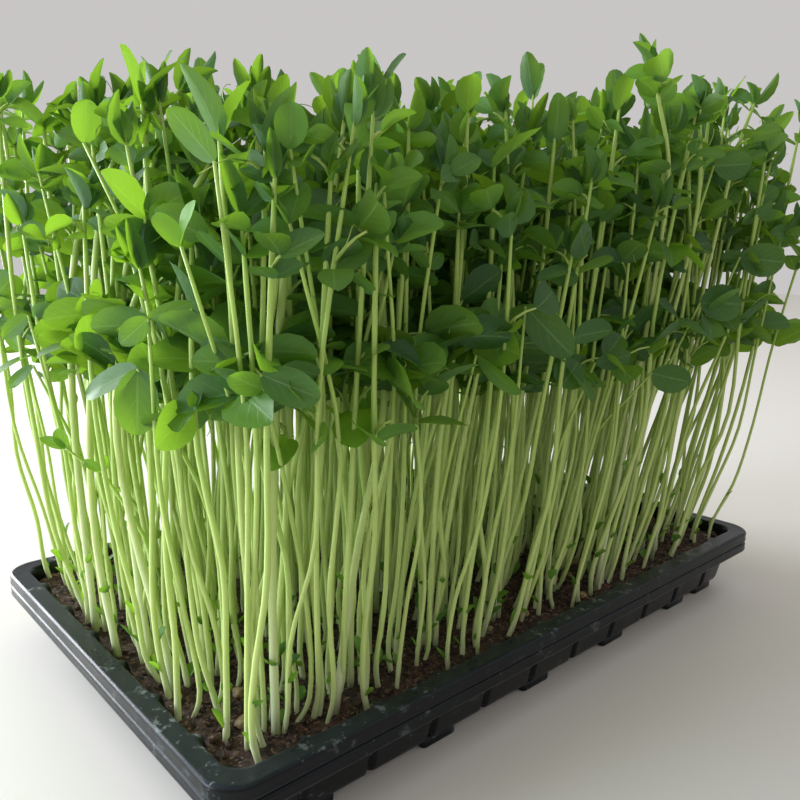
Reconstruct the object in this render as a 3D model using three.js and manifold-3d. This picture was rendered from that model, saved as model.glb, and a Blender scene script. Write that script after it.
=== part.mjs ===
// A tray of pea shoots: a drip tray, a growing tray nested in it, the growing medium, and the
// shoots in bunches of three, each bunch on one root plug. Millimetres, +Z up. The origin is the
// middle of the footprint, on the flat underside of the drip tray's middle foot.
import * as THREE from 'three';
import { mergeVertices } from 'three/addons/utils/BufferGeometryUtils.js';
import Module from 'manifold-3d';

const wasm = await Module();
wasm.setup();

// Driving dimensions of the two trays
const TRAY_LENGTH = 380;
const TRAY_WIDTH = 240;
const STACK_HEIGHT = 38;
const CORNER_RADIUS = 14;
const SHEET = 1;
const GAP = 0.4;
const UPPER_SKIRT = 6.5;
const LOWER_SKIRT = 5.5;
const WALL_INSET = 8.4;
const WALL_SLOPE = 0.2;
const FLUTE_PITCH = 33.5;
const FLUTE_DEPTH = 2.3;
const FLUTES_ALONG_LENGTH = 10;
const FLUTES_ALONG_WIDTH = 6;
const FLOOR_HEIGHT = 4;
const FOOT_LENGTH = 20;
const FOOT_WIDTH = 16;
const FOOT_GROOVES = [-4.5, -2.5, -0.5, 1.5, 3.5, 4.5];
const DRAIN_RADIUS = 3;
const DRAIN_PLACES = [-126, -63, 0, 63, 126];

// The growing medium and the holes that the root plugs stand in
const SOIL_TOP = 32;
const HOLE_RADIUS = 8.5;
const HOLE_SIDES = 5;
const HOLE_DEPTH = 14;
const PLUG_DEPTH = 1.5;

// The planting: bunches in rows and columns, leaning over and fanning out as they rise
const COLUMNS = 8;
const ROWS = 5;
const BED_LENGTH = 350;
const BED_WIDTH = 212;
const FAN_HEIGHT = 240;
const FAN_LENGTH = 0.19;
const FAN_WIDTH = 0.24;
const LEAN = new THREE.Vector2(22, 12);
const SHORTEST = 200;
const TALLEST = 270;
const LOW_CORNER = new THREE.Vector2(-190, -120);
const RISE_DIRECTION = new THREE.Vector2(0.67, 0.743);
const RISE_LENGTH = 140;

// A shoot's slim stem, and the room that its leaflets keep to
const STEM_RADIUS = 1.7;
const STEM_STEPS = 4;
const RIB_THICKNESS = 1.4;
const CLEARANCE = 0.6;
const EDGE_ROOM = 30;
const AIM_TRIES = 60;

// Leaflet outlines: how far along the rib, and the share of the half width there
const BROAD = [[0.24, 0.72], [0.54, 1], [0.82, 0.68]];
const PLAIN = [[0.36, 0.95], [0.76, 0.8]];

// The kinds of leaflet, with how steeply they rise
const YOUNG_LEAFLET = { length: 21, width: 10, rise: 1.05, outline: PLAIN };
const TOP_LEAFLET = { length: 27, width: 17, rise: 0.4, outline: BROAD };
const LOW_LEAFLET = { length: 26, width: 17, rise: -0.1, outline: PLAIN };

// The three shoots of a bunch: where in its cell each grows, its share of the full height, and
// its leaflets, each at a share of the stem and a turn round it
const SHOOTS = [
  {
    spot: [-1, -0.75],
    height: 1,
    leaflets: [[0.985, 0, YOUNG_LEAFLET], [0.985, Math.PI, YOUNG_LEAFLET], [0.82, Math.PI / 2, LOW_LEAFLET]],
  },
  { spot: [0.95, -0.55], height: 0.88, leaflets: [[0.985, 0, TOP_LEAFLET], [0.985, Math.PI, TOP_LEAFLET]] },
  { spot: [0, 1.1], height: 0.64, leaflets: [[0.985, 0, LOW_LEAFLET], [0.985, Math.PI, LOW_LEAFLET]] },
];

/** A repeatable random draw between two numbers, from a whole seed above zero. */
function drawFrom(seed) {
  let state = seed;
  return (low, high) => {
    state = (state * 16807) % 2147483647;
    return low + ((high - low) * state) / 2147483647;
  };
}

/** The solid that a closed geometry bounds. */
function solidOf(geometry) {
  const bare = new THREE.BufferGeometry();
  bare.setAttribute('position', geometry.getAttribute('position'));
  if (geometry.index) bare.setIndex(geometry.index);
  const merged = mergeVertices(bare, 1e-4);
  return new wasm.Manifold(new wasm.Mesh({
    numProp: 3,
    vertProperties: new Float32Array(merged.attributes.position.array),
    triVerts: new Uint32Array(merged.index.array),
  }));
}

/** The geometry of a solid's surface. */
function geometryOf(solid) {
  const mesh = solid.getMesh();
  const geometry = new THREE.BufferGeometry();
  geometry.setAttribute('position', new THREE.BufferAttribute(mesh.vertProperties, 3));
  geometry.setIndex(new THREE.BufferAttribute(mesh.triVerts, 1));
  geometry.computeVertexNormals();
  return geometry;
}

/** All of the solids joined into one. */
function joined(solids) {
  return solids.reduce((whole, solid) => whole.add(solid));
}

/** A solid through outlines of equally many points, each outline at its own height. */
function loft(rings) {
  const count = rings[0].points.length;
  const places = rings.flatMap(({ points, z }) => points.flatMap((p) => [p.x, p.y, z]));
  const faces = [];
  for (let r = 0; r + 1 < rings.length; r += 1) {
    for (let i = 0; i < count; i += 1) {
      const [a, b] = [r * count + i, r * count + ((i + 1) % count)];
      faces.push(a, b, b + count, a, b + count, a + count);
    }
  }
  const last = (rings.length - 1) * count;
  for (const [a, b, c] of THREE.ShapeUtils.triangulateShape(rings[0].points, [])) faces.push(a, c, b);
  for (const [a, b, c] of THREE.ShapeUtils.triangulateShape(rings.at(-1).points, [])) {
    faces.push(last + a, last + b, last + c);
  }
  const geometry = new THREE.BufferGeometry();
  geometry.setAttribute('position', new THREE.Float32BufferAttribute(places, 3));
  geometry.setIndex(faces);
  return solidOf(geometry);
}

/**
 * The tray's rounded rectangle, drawn in by an inset. A fluted one has V-shaped flutes in its
 * sides, and grow is how far it lies inside the outer wall face, which widens them a little.
 */
function trayOutline(inset, { fluted = false, grow = 0 } = {}) {
  const corner = Math.max(CORNER_RADIUS - inset * 0.5, 5);
  const half = new THREE.Vector2(TRAY_LENGTH / 2 - inset, TRAY_WIDTH / 2 - inset);
  const flute = FLUTE_DEPTH + grow * (Math.SQRT2 - 1);
  const long = { flutes: FLUTES_ALONG_LENGTH, reach: half.x, depth: half.y };
  const short = { flutes: FLUTES_ALONG_WIDTH, reach: half.y, depth: half.x };
  const sides = [
    { along: [1, 0], out: [0, -1], ...long },
    { along: [0, 1], out: [1, 0], ...short },
    { along: [-1, 0], out: [0, 1], ...long },
    { along: [0, -1], out: [-1, 0], ...short },
  ];
  const points = [];
  for (const { along, out, flutes, reach, depth } of sides) {
    const place = (s, d) => points.push(
      new THREE.Vector2(along[0] * s + out[0] * d, along[1] * s + out[1] * d),
    );
    for (let i = 0; fluted && i < flutes; i += 1) {
      const middle = (i - (flutes - 1) / 2) * FLUTE_PITCH;
      place(middle - flute, depth);
      place(middle, depth - flute);
      place(middle + flute, depth);
    }
    for (const turn of [0, 1, 2, 3]) {
      const angle = (turn * Math.PI) / 6;
      place(reach - corner + corner * Math.sin(angle), depth - corner + corner * Math.cos(angle));
    }
  }
  return points;
}

/** How far a wall's draft has drawn it in at a height, below the rim top. */
function draft(rimTop, z) {
  return (rimTop - z) * WALL_SLOPE;
}

/**
 * A thin-walled tray: drafted fluted walls, a floor, a flat rim and a turned-down skirt. inset is
 * its outer wall face's at the rim, and grow is how far that face lies inside the drip tray's.
 */
function trayShell({ rimTop, floor, skirt, inset, grow }) {
  const wall = (inner, low, high) => loft([low, high].map((z) => ({
    points: trayOutline(inset + draft(rimTop, z) + inner, { fluted: true, grow: grow + inner }), z,
  })));
  const plate = (edge, low, high) => loft([low, high].map((z) => ({ points: trayOutline(edge), z })));
  const brim = plate(0, rimTop - skirt, rimTop)
    .subtract(plate(SHEET, rimTop - skirt - 1, rimTop - SHEET));
  return wall(0, floor, rimTop - SHEET / 2)
    .add(brim)
    .subtract(wall(SHEET, floor + SHEET, rimTop + 1));
}

/** A box from its lowest and highest corners. */
function block(low, high) {
  const size = new THREE.Vector3().subVectors(high, low);
  const geometry = new THREE.BoxGeometry(size.x, size.y, size.z);
  return solidOf(geometry.translate(...low.clone().addScaledVector(size, 0.5).toArray()));
}

/** An upright prism of regular section, from a height up to another. */
function prism(x, y, radius, low, high, sides) {
  const geometry = new THREE.CylinderGeometry(radius, radius, high - low, sides);
  geometry.rotateX(Math.PI / 2).translate(x, y, (low + high) / 2);
  return solidOf(geometry);
}

/** The drip tray: no holes, and hollow feet pressed down from its floor. */
function buildDripTray() {
  const rimTop = STACK_HEIGHT - UPPER_SKIRT - GAP;
  const floor = FLOOR_HEIGHT;
  let tray = trayShell({ rimTop, floor, skirt: LOWER_SKIRT, inset: WALL_INSET, grow: 0 });
  const floorInset = WALL_INSET + draft(rimTop, floor);
  const edge = TRAY_WIDTH / 2 - floorInset - SHEET;
  const feet = [{ x: 0, y: 0, length: FOOT_LENGTH * 2, width: FOOT_WIDTH * 2 }];
  for (const side of [-1, 1]) {
    for (const groove of FOOT_GROOVES) {
      const x = groove * FLUTE_PITCH + FOOT_LENGTH / 2 - 3;
      const within = Math.min(x, TRAY_LENGTH / 2 - floorInset - FOOT_LENGTH / 2 - 6);
      feet.push({
        x: -side * within, y: side * (edge - FOOT_WIDTH / 2), length: FOOT_LENGTH, width: FOOT_WIDTH,
      });
    }
  }
  for (const foot of feet) {
    const box = (shrink, low, high) => block(
      new THREE.Vector3(foot.x - foot.length / 2 + shrink, foot.y - foot.width / 2 + shrink, low),
      new THREE.Vector3(foot.x + foot.length / 2 - shrink, foot.y + foot.width / 2 - shrink, high),
    );
    tray = tray.add(box(0, 0, floor + SHEET / 2)).subtract(box(SHEET, SHEET, floor + SHEET + 1));
  }
  return tray;
}

/** Where the growing tray's floor lies: as far above the drip tray's as their rims are apart. */
const GROWING_FLOOR = FLOOR_HEIGHT + UPPER_SKIRT + GAP;

/** The growing tray: nested in the drip tray, hung on its rim, with drain holes in its floor. */
function buildGrowingTray() {
  const tray = trayShell({
    rimTop: STACK_HEIGHT,
    floor: GROWING_FLOOR,
    skirt: UPPER_SKIRT,
    inset: growingInset(),
    grow: SHEET + GAP,
  });
  const drains = DRAIN_PLACES.flatMap((x) => [-50, 50].map(
    (y) => prism(x, y, DRAIN_RADIUS, GROWING_FLOOR - 1, GROWING_FLOOR + SHEET + 1, 6),
  ));
  return tray.subtract(joined(drains));
}

/** The growing tray's wall inset at its rim, which keeps the gap between the two nested walls. */
function growingInset() {
  return WALL_INSET + SHEET + GAP - (UPPER_SKIRT + GAP) * WALL_SLOPE;
}

/** The centre of a bunch's cell on the bed. */
function cellCentre(row, column) {
  return new THREE.Vector2(
    (column - (COLUMNS - 1) / 2) * (BED_LENGTH / COLUMNS),
    (row - (ROWS - 1) / 2) * (BED_WIDTH / ROWS),
  );
}

/** The growing medium: fills the growing tray to just under its rim, with a hole per root plug. */
function buildMedium() {
  const floor = GROWING_FLOOR + SHEET + GAP;
  const ring = (z) => {
    const inset = growingInset() + draft(STACK_HEIGHT, z) + SHEET + GAP;
    return { points: trayOutline(inset, { fluted: true, grow: 2 * (SHEET + GAP) }), z };
  };
  const holes = [];
  for (let row = 0; row < ROWS; row += 1) {
    for (let column = 0; column < COLUMNS; column += 1) {
      const { x, y } = cellCentre(row, column);
      holes.push(prism(x, y, HOLE_RADIUS, SOIL_TOP - HOLE_DEPTH, SOIL_TOP + 1, HOLE_SIDES));
    }
  }
  return loft([ring(floor), ring(SOIL_TOP)]).subtract(joined(holes));
}

/** How far the canopy has leaned and fanned at a height above the bed, from 0 to 1. */
function fanAt(height) {
  const share = THREE.MathUtils.clamp(height / FAN_HEIGHT, 0, 1);
  return share * share * (3 - 2 * share);
}

/** The place of a point of the bed, raised to a height, once the canopy has leaned and fanned. */
function raised(x, y, height) {
  const fan = fanAt(height);
  return new THREE.Vector3(
    x * (1 + FAN_LENGTH * fan) + LEAN.x * fan,
    y * (1 + FAN_WIDTH * fan) + LEAN.y * fan,
    SOIL_TOP + height,
  );
}

/** True where a place stays inside its bunch's own share of the canopy. */
function inCell(place, row, column) {
  const fan = fanAt(place.z - SOIL_TOP);
  const centre = cellCentre(row, column);
  const x = (place.x - LEAN.x * fan) / (1 + FAN_LENGTH * fan) - centre.x;
  const y = (place.y - LEAN.y * fan) / (1 + FAN_WIDTH * fan) - centre.y;
  const [halfX, halfY] = [BED_LENGTH / COLUMNS / 2 - CLEARANCE, BED_WIDTH / ROWS / 2 - CLEARANCE];
  const low = { x: column === 0 ? EDGE_ROOM : 0, y: row === 0 ? EDGE_ROOM : 0 };
  const high = { x: column === COLUMNS - 1 ? EDGE_ROOM : 0, y: row === ROWS - 1 ? EDGE_ROOM : 0 };
  return x > -halfX - low.x && x < halfX + high.x && y > -halfY - low.y && y < halfY + high.y;
}

/** The full height of the shoots over a place of the bed: lowest at one corner, rising from it. */
function fullHeight(x, y) {
  const away = new THREE.Vector2(x, y).sub(LOW_CORNER).dot(RISE_DIRECTION);
  return TALLEST - (TALLEST - SHORTEST) * Math.exp(-Math.max(away, 0) / RISE_LENGTH);
}

/** A stem: a three-sided rod from inside the root plug up to its tip. */
function stem(path) {
  const section = new THREE.Shape([0, 1, 2].map((turn) => new THREE.Vector2(
    STEM_RADIUS * Math.cos((turn * 2 * Math.PI) / 3),
    STEM_RADIUS * Math.sin((turn * 2 * Math.PI) / 3),
  )));
  return solidOf(new THREE.ExtrudeGeometry(section, {
    steps: STEM_STEPS, bevelEnabled: false, extrudePath: path,
  }));
}

/** A leaflet's edge, from its base round one side, its tip and the other side, and its rib's middle. */
function leafletPlaces({ base, direction, roll, length, width, fold, droop, outline }) {
  const side = new THREE.Vector3().crossVectors(direction, new THREE.Vector3(0, 0, 1)).normalize();
  side.applyAxisAngle(direction, roll);
  const face = new THREE.Vector3().crossVectors(side, direction).normalize();
  const place = (along, across, above = 0) => base.clone()
    .addScaledVector(direction, along * length)
    .addScaledVector(side, (across * width) / 2)
    .addScaledVector(face, (fold * Math.abs(across) * width) / 2 - droop * along * along * length + above);
  const forward = outline.map(([along, across]) => place(along, across));
  const back = outline.map(([along, across]) => place(along, -across)).reverse();
  return {
    edge: [place(0, 0), ...forward, place(1, 0), ...back],
    rib: [place(0.5, 0, RIB_THICKNESS / 2), place(0.5, 0, -RIB_THICKNESS / 2)],
  };
}

/** A leaflet: a blade folded along its rib and drooping, thickest at the rib, its faces split alike. */
function leaflet(form) {
  const { edge, rib } = leafletPlaces(form);
  const [above, below] = [edge.length, edge.length + 1];
  const faces = edge.flatMap((_, i) => {
    const next = (i + 1) % edge.length;
    return [i, next, above, next, i, below];
  });
  const geometry = new THREE.BufferGeometry();
  const places = [...edge, ...rib].flatMap((place) => place.toArray());
  geometry.setAttribute('position', new THREE.Float32BufferAttribute(places, 3));
  geometry.setIndex(faces);
  return solidOf(geometry);
}

/** One leaflet at a place, turned, lifted and shortened until it stays in its bunch's cell. */
function aimedLeaflet(base, turn, kind, draw, row, column) {
  const rise = kind.rise + draw(-0.4, 0.4);
  const [fold, droop, size, roll] = [draw(0.15, 0.4), draw(0.05, 0.25), draw(0.9, 1.1), draw(-0.8, 0.8)];
  for (let tried = 0; tried < AIM_TRIES; tried += 1) {
    const swing = turn + (tried % 2 ? -1 : 1) * Math.ceil((tried % 12) / 2) * 0.26;
    const shrink = 1 - 0.12 * Math.floor(tried / 12);
    const lift = rise + 0.3 * Math.floor(tried / 12);
    const direction = new THREE.Vector3(
      Math.cos(swing) * Math.cos(lift), Math.sin(swing) * Math.cos(lift), Math.sin(lift),
    );
    const [length, width] = [kind.length * size * shrink, kind.width * size * shrink];
    const form = { base, direction, roll, length, width, fold, droop, outline: kind.outline };
    if (leafletPlaces(form).edge.every((place) => inCell(place, row, column))) return leaflet(form);
  }
  return null;
}

/** The path of a shoot's stem, from inside the root plug up to its tip. */
function stemPath(centre, { spot: [a, b], height }, draw) {
  const home = centre.clone().add(new THREE.Vector2(a * draw(2.8, 3.5), b * draw(2.8, 3.5)));
  const away = centre.clone().add(new THREE.Vector2(
    a * draw(0.17, 0.27) * (BED_LENGTH / COLUMNS), b * draw(0.17, 0.27) * (BED_WIDTH / ROWS),
  ));
  const full = fullHeight(away.x, away.y) * height * draw(0.93, 1.04);
  const at = (share, spread) => raised(
    THREE.MathUtils.lerp(home.x, away.x, spread) + draw(-1.2, 1.2),
    THREE.MathUtils.lerp(home.y, away.y, spread) + draw(-1.2, 1.2),
    share * full,
  );
  const root = new THREE.Vector3(home.x, home.y, SOIL_TOP - HOLE_DEPTH / 2);
  return new THREE.CatmullRomCurve3([root, at(0.12, 0.25), at(0.4, 0.8), at(0.7, 1), at(1, 1)]);
}

/** A bunch: a root plug, the stems that fan out of it, and the leaflets on each. */
function buildBunch(row, column) {
  const draw = drawFrom(1 + row * COLUMNS + column);
  const centre = cellCentre(row, column);
  const solids = [prism(
    centre.x, centre.y, HOLE_RADIUS - 1.5 * GAP, SOIL_TOP - HOLE_DEPTH + GAP, SOIL_TOP - PLUG_DEPTH, HOLE_SIDES,
  )];
  for (const shoot of SHOOTS) {
    const path = stemPath(centre, shoot, draw);
    solids.push(stem(path));
    const start = draw(0, 2 * Math.PI);
    for (const [share, turn, kind] of shoot.leaflets) {
      const seat = path.getPoint(share);
      const blade = aimedLeaflet(seat, start + turn + draw(-0.3, 0.3), kind, draw, row, column);
      if (blade) solids.push(blade);
    }
  }
  return joined(solids);
}

/** A named sub-part with its own finish. */
function subPart(name, solid, { color, roughness, metalness }) {
  const mesh = new THREE.Mesh(
    geometryOf(solid),
    new THREE.MeshStandardMaterial({ color, roughness, metalness }),
  );
  mesh.name = name;
  return mesh;
}

const BLACK_PLASTIC = { color: 0x15181a, roughness: 0.5, metalness: 0 };
const MOIST_PEAT = { color: 0x241a13, roughness: 0.95, metalness: 0 };
const SHOOT_GREEN = { color: 0x5f8f35, roughness: 0.6, metalness: 0 };

const group = new THREE.Group();
group.add(subPart('drip_tray', buildDripTray(), BLACK_PLASTIC));
group.add(subPart('growing_tray', buildGrowingTray(), BLACK_PLASTIC));
group.add(subPart('growing_medium', buildMedium(), MOIST_PEAT));
for (let row = 0; row < ROWS; row += 1) {
  for (let column = 0; column < COLUMNS; column += 1) {
    const name = `pea_shoots_r${row + 1}_c${column + 1}`;
    group.add(subPart(name, buildBunch(row, column), SHOOT_GREEN));
  }
}

export default group;
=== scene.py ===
"""Pea shoots in their growing tray, standing in a drip tray on a pale table.

Every mesh is worked out in millimetres in the part's own frame and made in metres. The origin is
the middle of the footprint on the table, the tray's long side runs along X and Z points up.
"""
import sys

import logging
import math
from dataclasses import dataclass
from enum import Enum
from typing import Callable, Iterator, Sequence

import bpy
import numpy as np
from mathutils import Matrix, Vector, noise


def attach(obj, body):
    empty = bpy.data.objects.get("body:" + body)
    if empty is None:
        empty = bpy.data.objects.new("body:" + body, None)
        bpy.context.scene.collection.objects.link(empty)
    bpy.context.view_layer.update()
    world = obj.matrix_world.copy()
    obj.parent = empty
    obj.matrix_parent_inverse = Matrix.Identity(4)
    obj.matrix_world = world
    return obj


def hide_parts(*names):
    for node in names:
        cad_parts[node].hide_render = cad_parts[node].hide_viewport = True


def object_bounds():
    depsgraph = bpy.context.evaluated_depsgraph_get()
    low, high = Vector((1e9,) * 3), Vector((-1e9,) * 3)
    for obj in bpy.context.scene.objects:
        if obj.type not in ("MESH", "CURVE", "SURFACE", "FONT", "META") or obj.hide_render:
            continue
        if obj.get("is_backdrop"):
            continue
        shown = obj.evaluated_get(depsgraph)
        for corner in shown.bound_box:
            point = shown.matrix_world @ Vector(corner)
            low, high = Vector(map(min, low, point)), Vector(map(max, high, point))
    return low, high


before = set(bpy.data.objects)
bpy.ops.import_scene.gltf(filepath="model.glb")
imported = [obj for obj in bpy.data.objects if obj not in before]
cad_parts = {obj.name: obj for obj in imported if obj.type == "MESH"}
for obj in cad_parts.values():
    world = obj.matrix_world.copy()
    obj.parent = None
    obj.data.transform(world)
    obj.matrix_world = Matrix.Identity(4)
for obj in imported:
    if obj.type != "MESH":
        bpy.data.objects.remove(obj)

LOG = logging.getLogger("pea_shoots")
MILLIMETRE = 0.001
UP = np.array([0.0, 0.0, 1.0])
BLADE_MAP = "blade"
TONE = "tone"
# How far leaves may reach past the solids' low and high corners, in millimetres
OVERHANG = ((10.0, 10.0, 0.0), (10.0, 10.0, 6.0))

Places = np.ndarray
Colour = tuple[float, float, float, float]


def shade(red: float, green: float, blue: float) -> Colour:
    """An opaque colour from its linear red, green and blue."""
    return (red, green, blue, 1.0)


def unit(vector: Places) -> Places:
    """The vector at length one."""
    return vector / max(float(np.linalg.norm(vector)), 1e-9)


def smooth_share(value: float) -> float:
    """A share eased from 0 to 1, clamped at both ends."""
    share = min(max(value, 0.0), 1.0)
    return share * share * (3 - 2 * share)


def sideways(turn: float) -> Places:
    """The level unit vector at a turn about the upright axis."""
    return np.array([math.cos(turn), math.sin(turn), 0.0])


def turned(vector: Places, axis: Places, angle: float) -> Places:
    """A vector turned about a unit axis.

    Args:
        vector: What is turned.
        axis: The unit axis.
        angle: The turn in radians.

    Returns:
        The turned vector.
    """
    along = axis * float(np.dot(axis, vector)) * (1 - math.cos(angle))
    return vector * math.cos(angle) + np.cross(axis, vector) * math.sin(angle) + along


class Draws:
    """Repeatable random draws from a whole seed, the same as those of the part's own source."""

    MULTIPLIER = 16807
    MODULUS = 2147483647

    def __init__(self, seed: int, settle: int = 0) -> None:
        """Starts from a seed.

        Args:
            seed: A whole number above zero.
            settle: How many draws are thrown away first.
        """
        self.state = seed
        for _ in range(settle):
            self(0, 1)

    def __call__(self, low: float, high: float) -> float:
        """A draw between two numbers."""
        self.state = self.state * self.MULTIPLIER % self.MODULUS
        return low + (high - low) * self.state / self.MODULUS

    def turn(self) -> float:
        """A draw of any angle."""
        return self(0, 2 * math.pi)


# Meshes


class Surface:
    """Faces that are gathered in millimetres and then made into one Blender mesh."""

    def __init__(self) -> None:
        """Starts with no faces."""
        self.places: list[Places] = []
        self.maps: list[np.ndarray] = []
        self.tones: list[np.ndarray] = []
        self.faces: list[list[int]] = []
        self.finishes: list[int] = []
        self.count = 0

    def grid(
        self,
        places: Places,
        finish: int = 0,
        tone: float | np.ndarray = 0.0,
        ring: bool = False,
        caps: bool = False,
    ) -> None:
        """Adds the faces between rows of places.

        Args:
            places: Rows of equally many places, shape (rows, columns, 3).
            finish: The index of the finish that the faces take.
            tone: One tone for all, or one for each row.
            ring: Whether each row closes on itself.
            caps: Whether the first and last rows are filled in.
        """
        rows, columns = places.shape[:2]
        start = self.count
        index = start + np.arange(rows * columns).reshape(rows, columns)
        if ring:
            index = np.concatenate([index, index[:, :1]], axis=1)
        quads = np.stack(
            [index[:-1, :-1], index[:-1, 1:], index[1:, 1:], index[1:, :-1]], axis=-1,
        ).reshape(-1, 4)
        self.faces.extend(quads.tolist())
        self.finishes.extend([finish] * len(quads))
        if caps:
            self.faces.append(index[0, :columns][::-1].tolist())
            self.faces.append(index[-1, :columns].tolist())
            self.finishes.extend([finish] * 2)
        across, along = np.meshgrid(
            np.linspace(0, 1, columns), np.linspace(0, 1, rows), indexing="xy",
        )
        self.maps.append(np.stack([across, along], axis=-1).reshape(-1, 2))
        tones = np.broadcast_to(np.reshape(tone, (-1, 1)), (rows, columns))
        self.tones.append(tones.reshape(-1))
        self.places.append(places.reshape(-1, 3))
        self.count += rows * columns

    def rod(
        self, centres: Places, radii: np.ndarray, sides: int, finish: int, tone: float | np.ndarray,
    ) -> None:
        """Adds a closed rod round a line.

        Args:
            centres: The line, shape (rings, 3).
            radii: Each ring's radius.
            sides: How many places a ring has.
            finish: The index of its finish.
            tone: One tone for all, or one for each ring.
        """
        self.grid(tube(centres, radii, sides), finish, tone, ring=True, caps=True)

    def triangles(self) -> int:
        """How many triangles the faces make."""
        return sum(len(face) - 2 for face in self.faces)

    def piece(self, name: str, finishes: Sequence[bpy.types.Material]) -> bpy.types.Object:
        """Makes the object.

        Args:
            name: The object's name.
            finishes: The materials that the faces' indices stand for.

        Returns:
            The object, linked to the scene.
        """
        mesh = bpy.data.meshes.new(name)
        mesh.from_pydata((np.concatenate(self.places) * MILLIMETRE).tolist(), [], self.faces)
        mesh.polygons.foreach_set("material_index", self.finishes)
        mesh.polygons.foreach_set("use_smooth", [True] * len(self.faces))
        corners = np.empty(len(mesh.loops), dtype=np.int32)
        mesh.loops.foreach_get("vertex_index", corners)
        blade_map = mesh.uv_layers.new(name=BLADE_MAP)
        blade_map.data.foreach_set("uv", np.concatenate(self.maps)[corners].ravel())
        tone = mesh.attributes.new(TONE, "FLOAT", "POINT")
        tone.data.foreach_set("value", np.concatenate(self.tones).astype(np.float32))
        for finish in finishes:
            mesh.materials.append(finish)
        mesh.update()
        made = bpy.data.objects.new(name, mesh)
        bpy.context.scene.collection.objects.link(made)
        return made


class Path:
    """A smooth curve through places, the same centripetal one as in the part's own source."""

    POWER = 0.25

    def __init__(self, places: Sequence[Places]) -> None:
        """Takes the places that the curve passes through."""
        self.places = [np.asarray(place, dtype=float) for place in places]
        first, second, last, before = (self.places[i] for i in (0, 1, -1, -2))
        self.padded = [2 * first - second, *self.places, 2 * last - before]

    def at(self, share: float) -> Places:
        """The place at a share of the curve, from 0 to 1."""
        spans = len(self.places) - 1
        whole = min(int(share * spans), spans - 1)
        weight = share * spans - whole
        before, start, end, after = self.padded[whole:whole + 4]
        steps = [
            float(np.sum((b - a) ** 2)) ** self.POWER
            for a, b in ((before, start), (start, end), (end, after))
        ]
        middle = steps[1] if steps[1] >= 1e-4 else 1.0
        early, late = (step if step >= 1e-4 else middle for step in (steps[0], steps[2]))
        out = (start - before) / early - (end - before) / (early + middle)
        out = (out + (end - start) / middle) * middle
        into = (end - start) / middle - (after - start) / (middle + late)
        into = (into + (after - end) / late) * middle
        square = 3 * (end - start) - 2 * out - into
        cube = 2 * (start - end) + out + into
        return start + weight * (out + weight * (square + weight * cube))

    def line(self, shares: np.ndarray) -> Places:
        """The places at several shares of the curve."""
        return np.array([self.at(float(share)) for share in shares])

    def heading(self, share: float) -> Places:
        """The unit direction at a share of the curve."""
        return unit(self.at(min(share + 0.01, 1.0)) - self.at(max(share - 0.01, 0.0)))


def tube(centres: Places, radii: np.ndarray, sides: int) -> Places:
    """Rings round a line of centres, carried along without twisting.

    Args:
        centres: The line, shape (rings, 3).
        radii: Each ring's radius.
        sides: How many places a ring has.

    Returns:
        The rings' places, shape (rings, sides, 3).
    """
    headings = np.gradient(centres, axis=0)
    headings /= np.linalg.norm(headings, axis=1, keepdims=True) + 1e-9
    angles = np.linspace(0, 2 * math.pi, sides, endpoint=False)
    side = unit(np.cross(headings[0], [0.31, 0.95, 0.07]))
    rings = []
    for centre, heading, radius in zip(centres, headings, radii):
        side = unit(side - heading * float(np.dot(heading, side)))
        other = np.cross(heading, side)
        circle = np.outer(np.cos(angles), side) + np.outer(np.sin(angles), other)
        rings.append(centre + circle * radius)
    return np.array(rings)


# Materials


class Signal:
    """A number that a material works out. Sums on it add Math nodes."""

    def __init__(self, shader: "Shader", socket: bpy.types.NodeSocket) -> None:
        """Wraps a node's output socket."""
        self.shader = shader
        self.socket = socket

    def _sum(self, operation: str, first: "Signal | float", second: "Signal | float") -> "Signal":
        """Adds one Math node.

        Args:
            operation: The Math node's operation.
            first: Its first value.
            second: Its second value.

        Returns:
            The node's result.
        """
        made = self.shader.node(
            "ShaderNodeMath", {"operation": operation}, {0: first, 1: second},
        )
        return Signal(self.shader, made.outputs[0])

    def __add__(self, other: "Signal | float") -> "Signal":
        """This plus another."""
        return self._sum("ADD", self, other)

    __radd__ = __add__

    def __sub__(self, other: "Signal | float") -> "Signal":
        """This less another."""
        return self._sum("SUBTRACT", self, other)

    def __rsub__(self, other: "Signal | float") -> "Signal":
        """Another less this."""
        return self._sum("SUBTRACT", other, self)

    def __mul__(self, other: "Signal | float") -> "Signal":
        """This times another."""
        return self._sum("MULTIPLY", self, other)

    __rmul__ = __mul__

    def __abs__(self) -> "Signal":
        """This without its sign."""
        return self._sum("ABSOLUTE", self, 0.0)

    def sine(self) -> "Signal":
        """The sine of this."""
        return self._sum("SINE", self, 0.0)

    def between(self, low: float, high: float) -> "Signal":
        """Where this lies from low to high, eased and clamped to 0 and 1.

        Args:
            low: What gives 0.
            high: What gives 1.

        Returns:
            The share.
        """
        made = self.shader.node(
            "ShaderNodeMapRange",
            {"interpolation_type": "SMOOTHSTEP"},
            {"Value": self, "From Min": low, "From Max": high},
        )
        return Signal(self.shader, made.outputs["Result"])


Feed = Signal | bpy.types.NodeSocket | float | Sequence[float]


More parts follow.
